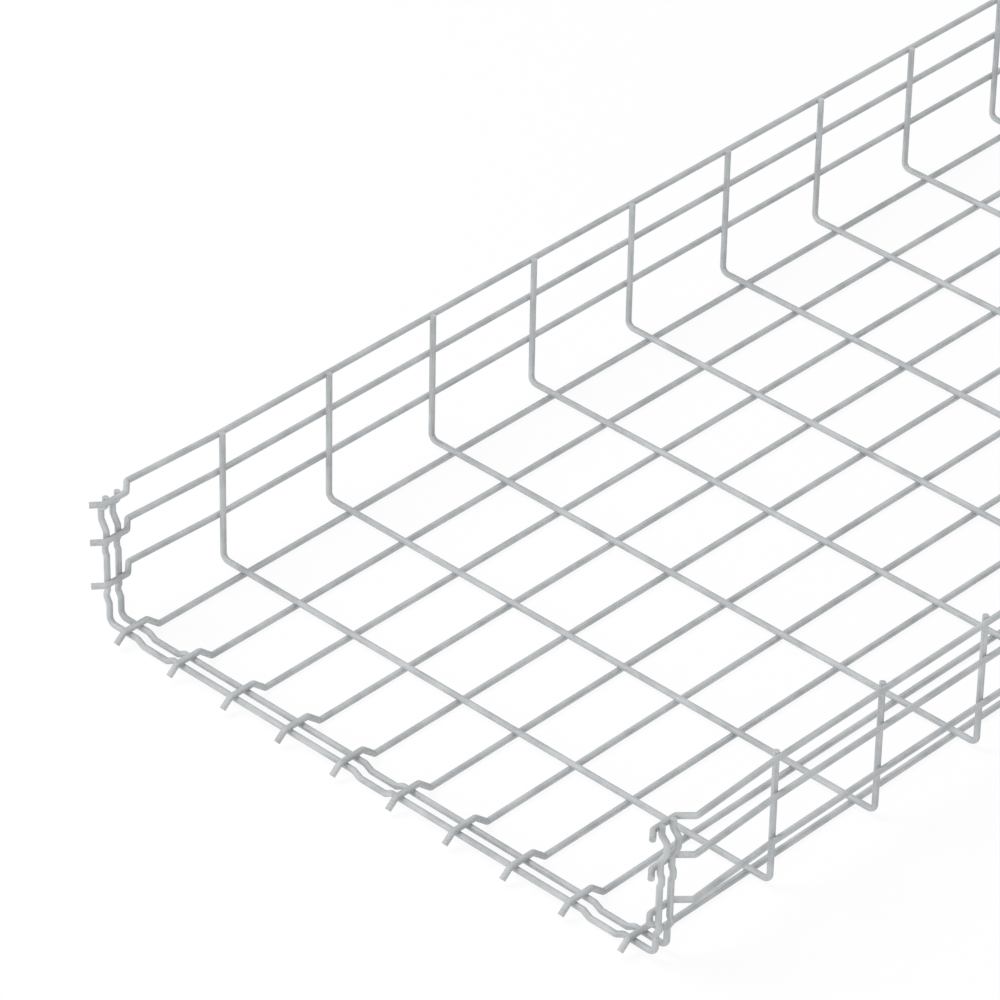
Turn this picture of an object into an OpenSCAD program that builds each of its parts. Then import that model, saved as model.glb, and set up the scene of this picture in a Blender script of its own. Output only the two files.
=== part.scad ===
// Welded wire cable basket: a U-shaped tray of steel wire for carrying cables, with a formed
// coupler at its front end that snaps over the last cross wire of the tray before it.
// X runs across the tray, Y along it away from the coupler, and Z up from the surface it rests on.

/* [Tray] */
// Outside width, over the side wires
tray_w = 500; // [200:50:600]
// Number of cross wires, the first one pitch behind the coupler
cross_count = 30; // [3:1:30]
// Spacing of the cross wires along the tray
cross_pitch = 100; // [60:5:120]
// Spacing of the floor wires across the tray
floor_pitch = 50; // [45:1:60]
// Length of wire that stands out past the last cross wire
plain_end = 10; // [6:1:16]

/* [Wire] */
// Diameter of every wire
wire_d = 4.4; // [3.8:0.1:5]
// Depth that two crossing wires are forged into each other by the weld
weld_sink = 0.73; // [0.3:0.01:1.2]
// Radius of the bends between the floor and the sides, at the axis of the wire
bend_r = 5.2; // [4.5:0.1:8]
// Radius of the sharp bends of the steps, tails and hooks, at the axis of the wire
kink_r = 3; // [2.8:0.1:3.2]

/* [Sides] */
// Height of the low side wire over the cross wires in the floor, axis to axis
low_h = 34.5; // [32:0.5:40]
// Height of the middle side wire over the cross wires in the floor, axis to axis
middle_h = 69.5; // [60:0.5:72]
// Height of the top side wire over the cross wires in the floor, axis to axis
top_h = 99.5; // [96:0.5:130]

/* [Coupler] */
// Distance between the two coupler wires, axis to axis
coupler_gap = 10.4; // [10:0.1:11.2]
// Depth that the side wires and the coupler wires are forged into each other
coupler_sink = 1.3; // [0.7:0.1:1.5]
// Distance that the floor and side wires step inwards to pass over the coupler wires
crank_step = 9.2; // [8:0.1:10]
// Angle of the step in the floor wires
floor_crank_angle = 40; // [35:1:45]
// Distance from the middle of the coupler to the foot of the step in the floor wires
floor_crank_foot = 21.8; // [21:0.1:24]
// Angle of the step in the side wires
side_crank_angle = 45; // [42:1:50]
// Distance from the middle of the coupler to the foot of the step in the side wires
side_crank_foot = 19.6; // [19.3:0.1:24]
// Distance from the middle of the coupler to the start of the tail
tail_start = 9.6; // [9:0.1:11]
// Length of the turned-out tail
tail_len = 9.6; // [8:0.1:14]
// Angle of the tail
tail_angle = 40; // [30:1:50]
// Distance that the side wires lean outwards at the foot of the step
flare = 3.3; // [2:0.1:4]
// Distance behind which the side wires start to lean out, measured from the first cross wire
flare_start = 5; // [5:1:20]
// Radius of the gentle bend where the side wires start to lean out
flare_r = 100; // [60:10:200]

/* [Coupler hooks] */
// Drop of each hook in the floor of a coupler wire
floor_hook = 3.3; // [2:0.1:4]
// Distance from a floor wire to the middle of the slope of a hook
floor_hook_inset = 11; // [10:0.5:13]
// Distance that the foot of each side of a coupler wire stands inwards, under the low hook
foot_in = 1.6; // [1:0.1:2.2]
// Swell of the hook under the low side wire
low_hook = 1; // [1:0.1:1.4]
// Distance from the low side wire down to the start of that hook
low_hook_start = 17.5; // [16:0.1:20]
// Distance from the low side wire down to the end of that hook
low_hook_end = 7.9; // [6:0.1:8.4]
// Swell of the hook under the middle side wire
middle_hook = 1.4; // [1:0.1:1.8]
// Distance from the middle side wire down to the start of that hook
middle_hook_start = 14.5; // [13.5:0.1:18]
// Distance from the middle side wire down to the end of that hook
middle_hook_end = 4.5; // [4:0.1:5.5]
// Swell of the hook between the middle and top side wires
top_hook = 4.6; // [3:0.1:5]
// Distance from the middle side wire up to the start of that hook
top_hook_start = 5; // [4:0.1:6]
// Distance from the top side wire down to the end of that hook
top_hook_end = 4.5; // [4:0.1:6]
// Slope of the hooks
hook_angle = 30; // [25:1:32]
// Slope of the upper side of the hook between the middle and top side wires
top_hook_angle = 45; // [40:1:50]

/* [Hidden] */
$fn = 48;
wire_r = wire_d / 2;
// Distance between the axes of two wires that are welded across each other
weld_step = wire_d - weld_sink;
side_weld_step = wire_d - coupler_sink;
side_x = tray_w / 2 - wire_r;
upright_x = side_x - weld_step;
upright_top = top_h + wire_r;
floor_count = round(tray_w / floor_pitch);
hooked_pairs = [0, floor(floor_count / 2) - 1, floor_count - 2];
rest_z = weld_step + wire_r;
length_y = cross_count * cross_pitch + plain_end;
front_y = tail_start + tail_len * cos(tail_angle) + wire_r * sin(tail_angle);
// Middle of the part along Y, to a hundredth
middle_y = round(50 * (length_y - front_y)) / 100;
cut_len = 4 * wire_d;
// Extra radius of a bend, and the length that a leg runs into it
bend_swell = 0.01;
bend_lap = 0.2;
galvanised = [0.72, 0.74, 0.75];

side_names = ["left", "right"];
level_names = ["low", "middle", "top"];
level_heights = [low_h, middle_h, top_h];
coupler_names = ["front", "rear"];

function two_digits(n) = n < 10 ? str("0", n) : str(n);
function floor_name(i) = str("floor_wire_", two_digits(i + 1));
function side_name(s, l) = str("side_wire_", side_names[s], "_", level_names[l]);
function cross_name(k) = str("cross_wire_", two_digits(k));
function coupler_name(j) = str("coupler_wire_", coupler_names[j]);

function floor_x(i) = (i - (floor_count - 1) / 2) * floor_pitch;

// ---- A round wire bent in a plane ----

// Direction of leg i of the path p, in degrees
function heading(p, i) = atan2(p[i + 1].y - p[i].y, p[i + 1].x - p[i].x);

// Signed turn of the path at corner i, between -180 and 180
function turn(p, i) =
    let (t = heading(p, i) - heading(p, i - 1))
    t > 180 ? t - 360 : t < -180 ? t + 360 : t;

// Length that the bend at corner i takes from each of its two legs
function bend_take(p, r, i) =
    i == 0 || i == len(p) - 1 ? 0 : r[i] * tan(abs(turn(p, i)) / 2);

// Leg i of the path. It runs a little way into the bends at its ends.
module straight(p, r, i) {
    a = heading(p, i);
    from = i == 0 ? 0 : bend_take(p, r, i) - bend_lap;
    upto = norm(p[i + 1] - p[i]) - (i == len(p) - 2 ? 0 : bend_take(p, r, i + 1) - bend_lap);
    translate([p[i].x + from * cos(a), p[i].y + from * sin(a), 0])
        rotate([0, 90, a])
            cylinder(d = wire_d, h = upto - from);
}

// The bend at corner i, a hair thicker than the legs that run into it
module bend(p, r, i) {
    a = heading(p, i - 1);
    t = turn(p, i);
    skip = bend_take(p, r, i);
    side = sign(t);
    translate([p[i].x - skip * cos(a) - side * r[i] * sin(a), p[i].y - skip * sin(a) + side * r[i] * cos(a), 0])
        rotate([0, 0, t > 0 ? a - 90 : a + 90 + t])
            rotate_extrude(angle = abs(t))
                translate([r[i], 0])
                    circle(r = wire_r + bend_swell);
}

// A wire along the flat path p, with its corner i bent to the radius r[i]
module bent_wire(p, r) {
    for (i = [0:len(p) - 2])
        straight(p, r, i);
    for (i = [1:len(p) - 2])
        bend(p, r, i);
}

// ---- Wires along the tray ----

// Place of a wire's cranked end, outwards from its own line
function crank_v(lean) = lean - crank_step;

// A wire along the tray, drawn along X with the inside of the tray towards -Y.
// It leans out by lean, steps in at an angle over the coupler wires and ends in a turned-out tail.
// seat is the distance from its cranked end to the axes of the coupler wires.
module long_wire(lean, foot, angle, seat) {
    tail = [
        [-tail_start - tail_len * cos(tail_angle), crank_v(lean) + tail_len * sin(tail_angle)],
        [-tail_start, crank_v(lean)],
        [foot - crank_step / tan(angle), crank_v(lean)],
        [foot, lean]
    ];
    rest = lean > 0
        ? [[cross_pitch - flare_start, 0], [length_y, 0]]
        : [[length_y, 0]];
    difference() {
        bent_wire(concat(tail, rest), [0, kink_r, kink_r, kink_r, flare_r, 0]);
        for (k = [1:cross_count])
            translate([k * cross_pitch, -weld_step, 0])
                cylinder(d = wire_d, h = cut_len, center = true);
        for (j = [-1, 1])
            translate([j * coupler_gap / 2, crank_v(lean) + seat, 0])
                cylinder(d = wire_d, h = cut_len, center = true);
    }
}

module floor_wire(i) {
    color(galvanised)
        translate([floor_x(i), -middle_y, wire_r])
            rotate([-90, 0, 90])
                long_wire(0, floor_crank_foot, floor_crank_angle, weld_step);
}

module side_wire(s, l) {
    color(galvanised)
        translate([(2 * s - 1) * side_x, -middle_y, rest_z + level_heights[l]])
            rotate([s * 180, 0, 90])
                long_wire(flare, side_crank_foot, side_crank_angle, side_weld_step);
}

// ---- Wires across the tray ----

// A U of wire drawn in the plane Y = 0, open upwards
module upright_u(p, r) {
    rotate([90, 0, 0])
        bent_wire(p, r);
}

module cross_wire(k) {
    color(galvanised)
        translate([0, k * cross_pitch - middle_y, rest_z])
            upright_u(
                [[-upright_x, upright_top], [-upright_x, 0], [upright_x, 0], [upright_x, upright_top]],
                [0, bend_r, bend_r, 0]
            );
}

// The four corners of a hook that swells by depth, each as [along, out]. It rises from the
// height base at the place start, and is back at 0 at the place end.
function hook(start, end, depth, base, fall) = [
    [start, base],
    [start + (depth - base) / tan(hook_angle), depth],
    [end - depth / tan(fall), depth],
    [end, 0]
];

coupler_x = side_x + crank_v(flare) + side_weld_step;
coupler_z = -2 * weld_step - crank_v(0);

// Hooks of one side, from the floor up
side_hooks = concat(
    hook(low_h - low_hook_start, low_h - low_hook_end, low_hook, -foot_in, hook_angle),
    hook(middle_h - middle_hook_start, middle_h - middle_hook_end, middle_hook, 0, hook_angle),
    hook(middle_h + top_hook_start, top_h - top_hook_end, top_hook, 0, top_hook_angle)
);

// Hooks of the floor, from left to right
hook_start = floor_hook_inset - floor_hook / tan(hook_angle) / 2;
floor_hooks = [
    for (i = hooked_pairs)
        each hook(floor_x(i) + hook_start, floor_x(i + 1) - hook_start, floor_hook, 0, hook_angle)
];

coupler_path = concat(
    [[-coupler_x, upright_top]],
    [for (i = [len(side_hooks) - 1:-1:0]) [-coupler_x - side_hooks[i].y, side_hooks[i].x]],
    [[foot_in - coupler_x, coupler_z]],
    [for (h = floor_hooks) [h.x, coupler_z - h.y]],
    [[coupler_x - foot_in, coupler_z]],
    [for (h = side_hooks) [coupler_x + h.y, h.x]],
    [[coupler_x, upright_top]]
);
// The bends between the floor and the sides are wider than those of the hooks
coupler_bends = [for (p = coupler_path) p.y == coupler_z && abs(p.x) > floor_x(floor_count - 1) ? bend_r : kink_r];

module coupler_wire(j) {
    color(galvanised)
        translate([0, (j - 0.5) * coupler_gap - middle_y, rest_z])
            upright_u(coupler_path, coupler_bends);
}

for (i = [0:floor_count - 1])
    floor_wire(i);
for (s = [0, 1], l = [0:2])
    side_wire(s, l);
for (k = [1:cross_count])
    cross_wire(k);
for (j = [0, 1])
    coupler_wire(j);
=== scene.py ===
import math
import random

import bpy
import numpy as np
from mathutils import Matrix, Vector


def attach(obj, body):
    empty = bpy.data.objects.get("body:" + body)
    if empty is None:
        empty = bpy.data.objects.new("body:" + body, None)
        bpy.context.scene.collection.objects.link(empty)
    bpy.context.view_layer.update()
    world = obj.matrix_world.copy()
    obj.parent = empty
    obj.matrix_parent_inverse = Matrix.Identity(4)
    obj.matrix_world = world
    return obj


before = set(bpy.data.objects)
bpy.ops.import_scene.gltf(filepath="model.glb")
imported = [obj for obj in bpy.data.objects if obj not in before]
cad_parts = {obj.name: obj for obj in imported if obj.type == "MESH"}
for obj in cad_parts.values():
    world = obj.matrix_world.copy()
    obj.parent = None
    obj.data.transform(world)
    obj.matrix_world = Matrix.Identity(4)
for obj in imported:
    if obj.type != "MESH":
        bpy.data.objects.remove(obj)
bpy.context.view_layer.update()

MM = 0.001

# ---- Sizes repeated from part.scad, in metres ----
TRAY_W = 500 * MM
CROSS_COUNT = 30
CROSS_PITCH = 100 * MM
FLOOR_PITCH = 50 * MM
WIRE_R = 2.2 * MM
WELD_STEP = 3.67 * MM
LEVELS = (34.5 * MM, 69.5 * MM, 99.5 * MM)
COUPLER_GAP = 10.4 * MM
SIDE_WELD_STEP = 3.1 * MM
CRANK_STEP = 9.2 * MM
FLARE = 3.3 * MM
MIDDLE_Y = 1495.82 * MM

SIDE_X = TRAY_W / 2 - WIRE_R
REST_Z = WELD_STEP + WIRE_R
FLOOR_COUNT = round(TRAY_W / FLOOR_PITCH)


# ---- Shader helpers ----

class Nodes:
    """A short way to write the node tree of a material or of the world."""

    def __init__(self, owner, output):
        owner.use_nodes = True
        self.tree = owner.node_tree
        self.tree.nodes.clear()
        self.out = self.add(output)

    def add(self, kind, **values):
        node = self.tree.nodes.new(kind)
        for key, value in values.items():
            setattr(node, key, value)
        return node

    def link(self, source, target):
        self.tree.links.new(source, target)

    def math(self, operation, a, b=0.0):
        node = self.add("ShaderNodeMath", operation=operation)
        for socket, value in zip(node.inputs, (a, b)):
            if isinstance(value, (int, float)):
                socket.default_value = value
            else:
                self.link(value, socket)
        return node.outputs[0]

    def noise(self, vector, scale, detail=2.0, roughness=0.5):
        node = self.add("ShaderNodeTexNoise")
        node.inputs["Scale"].default_value = scale
        node.inputs["Detail"].default_value = detail
        node.inputs["Roughness"].default_value = roughness
        self.link(vector, node.inputs["Vector"])
        return node.outputs["Fac"]

    def stretched(self, vector, scale):
        node = self.add("ShaderNodeVectorMath", operation="MULTIPLY")
        self.link(vector, node.inputs[0])
        node.inputs[1].default_value = scale
        return node.outputs[0]

    def ramp(self, value, stops):
        node = self.add("ShaderNodeValToRGB")
        ramp = node.color_ramp
        while len(ramp.elements) < len(stops):
            ramp.elements.new(0.5)
        for element, (place, colour) in zip(ramp.elements, stops):
            element.position = place
            element.color = (*colour, 1.0)
        self.link(value, node.inputs[0])
        return node.outputs[0]

    def seen(self):
        """1 for a ray from the camera or from a shiny or clear surface, and 0 for one that only lights."""
        path = self.add("ShaderNodeLightPath")
        passed_on = self.math("MAXIMUM", path.outputs["Is Glossy Ray"], path.outputs["Is Transmission Ray"])
        return self.math("MAXIMUM", path.outputs["Is Camera Ray"], passed_on)


# ---- The zinc coat ----

ZINC_DARK = (0.40, 0.42, 0.43)
ZINC = (0.50, 0.52, 0.53)
ZINC_LIGHT = (0.58, 0.60, 0.61)
METALLIC = 0.5
ROUGHNESS = 0.48
ROUGHNESS_SPREAD = 0.16
BUMP_STRENGTH = 0.25
BUMP_DEPTH = 0.12 * MM

# How fine the noise is, in cells per metre. The draw lines are fine across the wire and long along it.
PATCHES = 55.0
GRAIN = 1400.0
LINES_ALONG = (1500.0, 22.0, 1500.0)
LINES_ACROSS = (40.0, 1500.0, 40.0)


def zinc(name, streak):
    """Galvanised wire: a satin zinc coat with soft patches, fine draw lines and grain."""
    coat = bpy.data.materials.new(name)
    n = Nodes(coat, "ShaderNodeOutputMaterial")
    place = n.add("ShaderNodeTexCoord").outputs["Object"]
    patches = n.noise(place, PATCHES, 3.0, 0.55)
    lines = n.noise(n.stretched(place, streak), 1.0, 2.0, 0.5)
    grain = n.noise(place, GRAIN, 2.0, 0.6)
    tone = n.math("ADD", n.math("MULTIPLY", patches, 0.6), n.math("MULTIPLY", lines, 0.4))
    colour = n.ramp(tone, [(0.36, ZINC_DARK), (0.5, ZINC), (0.66, ZINC_LIGHT)])
    shader = n.add("ShaderNodeBsdfPrincipled")
    shader.inputs["Metallic"].default_value = METALLIC
    rough = n.math("ADD", n.math("MULTIPLY", patches, ROUGHNESS_SPREAD), ROUGHNESS)
    n.link(rough, shader.inputs["Roughness"])
    n.link(colour, shader.inputs["Base Color"])
    bump = n.add("ShaderNodeBump")
    bump.inputs["Strength"].default_value = BUMP_STRENGTH
    bump.inputs["Distance"].default_value = BUMP_DEPTH
    height = n.math("ADD", n.math("MULTIPLY", lines, 0.6), n.math("MULTIPLY", grain, 0.5))
    n.link(height, bump.inputs["Height"])
    n.link(bump.outputs[0], shader.inputs["Normal"])
    n.link(shader.outputs[0], n.out.inputs["Surface"])
    return coat


def dress_wires():
    """Gives every CAD wire the zinc coat, and returns the coat that the weld beads share."""
    along = zinc("zinc_wire_along", LINES_ALONG)
    across = zinc("zinc_wire_across", LINES_ACROSS)
    for name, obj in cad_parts.items():
        coat = along if name.startswith(("floor_wire", "side_wire")) else across
        for slot in obj.material_slots:
            slot.material = coat
    return along


# ---- Welds ----

BEAD_R = 2.1 * MM
BEAD_FLAT = 0.95 * MM
BEAD_TURNS = 14
BEAD_RINGS = 7
BEAD_UNEVEN = 0.02 * MM
SEED = 7


def ball():
    """The points and faces of a unit ball, as rings between two poles."""
    points = [(0, 0, 1)]
    for ring in range(1, BEAD_RINGS):
        down = math.pi * ring / BEAD_RINGS
        for turn in range(BEAD_TURNS):
            angle = 2 * math.pi * turn / BEAD_TURNS
            out = math.sin(down)
            points.append((out * math.cos(angle), out * math.sin(angle), math.cos(down)))
    points.append((0, 0, -1))
    last = len(points) - 1
    faces = []
    for turn in range(BEAD_TURNS):
        after = (turn + 1) % BEAD_TURNS
        faces.append((0, 1 + turn, 1 + after))
        for ring in range(BEAD_RINGS - 2):
            a, b = 1 + ring * BEAD_TURNS, 1 + (ring + 1) * BEAD_TURNS
            faces.append((a + turn, b + turn, b + after, a + after))
        below = 1 + (BEAD_RINGS - 2) * BEAD_TURNS
        faces.append((last, below + after, below + turn))
    return np.array(points, float), faces


def bead_matrix(rng, normal):
    """One weld: a low, slightly uneven collar of metal squeezed out between two crossing wires."""
    turn = normal.to_track_quat("Z", "Y").to_matrix()
    size = BEAD_R * rng.uniform(0.94, 1.04)
    shape = Matrix.Diagonal((size, size * rng.uniform(0.92, 1.06), BEAD_FLAT * rng.uniform(0.9, 1.15)))
    return turn @ Matrix.Rotation(rng.uniform(0, math.pi), 3, "Z") @ shape


def weld_places():
    """Yields a group name, the point between the two wires, and the direction from one wire to the other."""
    across = [k * CROSS_PITCH - MIDDLE_Y for k in range(1, CROSS_COUNT + 1)]
    coupler = [s * COUPLER_GAP / 2 - MIDDLE_Y for s in (-1, 1)]
    up = Vector((0, 0, 1))
    for i in range(FLOOR_COUNT):
        x = (i - (FLOOR_COUNT - 1) / 2) * FLOOR_PITCH
        for y in across:
            yield "floor", Vector((x, y, WIRE_R + WELD_STEP / 2)), up
        for y in coupler:
            yield "coupler", Vector((x, y, WIRE_R + CRANK_STEP - WELD_STEP / 2)), up
    for name, s in (("left", -1), ("right", 1)):
        out = Vector((s, 0, 0))
        for level in LEVELS:
            z = REST_Z + level
            for y in across:
                yield name, Vector((s * (SIDE_X - WELD_STEP / 2), y, z)), out
            for y in coupler:
                yield "coupler", Vector((s * (SIDE_X + FLARE - CRANK_STEP + SIDE_WELD_STEP / 2), y, z)), out


def build_welds(coat):
    """One joined mesh of beads for the floor, for each side and for the coupler."""
    rng = random.Random(SEED)
    uneven = np.random.default_rng(SEED)
    points, faces = ball()
    groups = {}
    for name, place, normal in weld_places():
        groups.setdefault(name, []).append((place, bead_matrix(rng, normal)))
    for name, beads in groups.items():
        made = [points @ np.array(shape).T + np.array(place) + uneven.normal(0, BEAD_UNEVEN, points.shape)
                for place, shape in beads]
        firsts = [bead * len(points) for bead in range(len(made))]
        data = bpy.data.meshes.new("weld_beads_" + name)
        data.from_pydata(np.concatenate(made).tolist(), [],
                         [[first + corner for corner in face] for first in firsts for face in faces])
        data.shade_smooth()
        data.materials.append(coat)
        obj = bpy.data.objects.new("weld_beads_" + name, data)
        bpy.context.scene.collection.objects.link(obj)
        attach(obj, "root")


# ---- Floor, lights and camera ----

WHITE = (1.0, 1.0, 1.0, 1.0)
FLOOR_COLOUR = (0.9, 0.9, 0.9, 1.0)
FLOOR_GLOW = 0.92        # how white the floor is where it is seen, so that shadows stay faint
FLOOR_HALF = 60.0
FLOOR_DROP = 0.2 * MM    # how far the floor lies below the tray
SKY_LIGHT = 0.45         # what the white surroundings give as light
SKY_SEEN = 1.0


def lit_floor():
    floor = bpy.data.materials.new("studio_floor")
    n = Nodes(floor, "ShaderNodeOutputMaterial")
    matt = n.add("ShaderNodeBsdfDiffuse")
    matt.inputs["Color"].default_value = FLOOR_COLOUR
    glow = n.add("ShaderNodeEmission")
    glow.inputs["Color"].default_value = WHITE
    glow.inputs["Strength"].default_value = 1.0
    both = n.add("ShaderNodeMixShader")
    n.link(n.math("MULTIPLY", n.seen(), FLOOR_GLOW), both.inputs[0])
    n.link(matt.outputs[0], both.inputs[1])
    n.link(glow.outputs[0], both.inputs[2])
    n.link(both.outputs[0], n.out.inputs["Surface"])
    return floor


def build_floor():
    mesh = bpy.data.meshes.new("floor")
    corners = [(x * FLOOR_HALF, y * FLOOR_HALF, 0) for x, y in ((-1, -1), (1, -1), (1, 1), (-1, 1))]
    mesh.from_pydata(corners, [], [(0, 1, 2, 3)])
    mesh.materials.append(lit_floor())
    obj = bpy.data.objects.new("floor", mesh)
    bpy.context.scene.collection.objects.link(obj)
    obj.location.z = -FLOOR_DROP


def build_world():
    world = bpy.data.worlds.new("studio")
    bpy.context.scene.world = world
    n = Nodes(world, "ShaderNodeOutputWorld")
    strength = n.add("ShaderNodeMapRange")
    strength.inputs["To Min"].default_value = SKY_LIGHT
    strength.inputs["To Max"].default_value = SKY_SEEN
    n.link(n.seen(), strength.inputs["Value"])
    back = n.add("ShaderNodeBackground")
    back.inputs["Color"].default_value = WHITE
    n.link(strength.outputs[0], back.inputs["Strength"])
    n.link(back.outputs[0], n.out.inputs["Surface"])


def add_area(name, place, target, size, power):
    """A round soft light of so many watts that shiny surfaces don't mirror."""
    data = bpy.data.lights.new(name, "AREA")
    data.shape = "DISK"
    data.size = size
    data.energy = power
    obj = bpy.data.objects.new(name, data)
    bpy.context.scene.collection.objects.link(obj)
    obj.visible_glossy = False
    obj.location = place
    obj.rotation_euler = (Vector(target) - Vector(place)).to_track_quat("-Z", "Y").to_euler()


# The camera of the picture: azimuth, elevation and roll in degrees, the lens and sensor in millimetres, the
# shift of the picture in shares of its width, and how far right, down and ahead of the camera the middle of
# the coupler's floor lies.
AZIMUTH, ELEVATION, ROLL = 44.481, 34.465, 0.314
SENSOR = 36.0
LENS = 221.74452
SHIFT_X, SHIFT_Y = 0.13423, -0.06258
COUPLER_FROM_CAMERA = Vector((8.10 * MM, 218.76 * MM, 3926.22 * MM))


def build_camera():
    az, el, roll = (math.radians(a) for a in (AZIMUTH, ELEVATION, ROLL))
    ahead = Vector((-math.sin(az) * math.cos(el), math.cos(az) * math.cos(el), -math.sin(el)))
    right = ahead.cross(Vector((0, 0, 1))).normalized()
    down = ahead.cross(right)
    level_right, level_down = right, down
    right = level_right * math.cos(roll) - level_down * math.sin(roll)
    down = level_down * math.cos(roll) + level_right * math.sin(roll)
    data = bpy.data.cameras.new("camera")
    data.sensor_width = SENSOR
    data.lens = LENS
    data.shift_x = SHIFT_X
    data.shift_y = SHIFT_Y
    data.clip_end = 200.0
    obj = bpy.data.objects.new("camera", data)
    bpy.context.scene.collection.objects.link(obj)
    turn = Matrix((right, -down, -ahead)).transposed()
    offset = COUPLER_FROM_CAMERA
    coupler_floor = Vector((0, -MIDDLE_Y, REST_Z))
    place = coupler_floor - (right * offset.x + down * offset.y + ahead * offset.z)
    obj.matrix_world = Matrix.Translation(place) @ turn.to_4x4()
    bpy.context.scene.camera = obj


coat = dress_wires()
build_welds(coat)
build_floor()
build_world()
add_area("key", place=(-3.0, -3.5, 5.0), target=(0, -1.0, 0), size=3.0, power=260.0)
add_area("fill", place=(1.8, -5.2, 1.3), target=(0, -1.2, 0.05), size=2.5, power=80.0)
build_camera()
bpy.context.scene.view_settings.view_transform = "Standard"
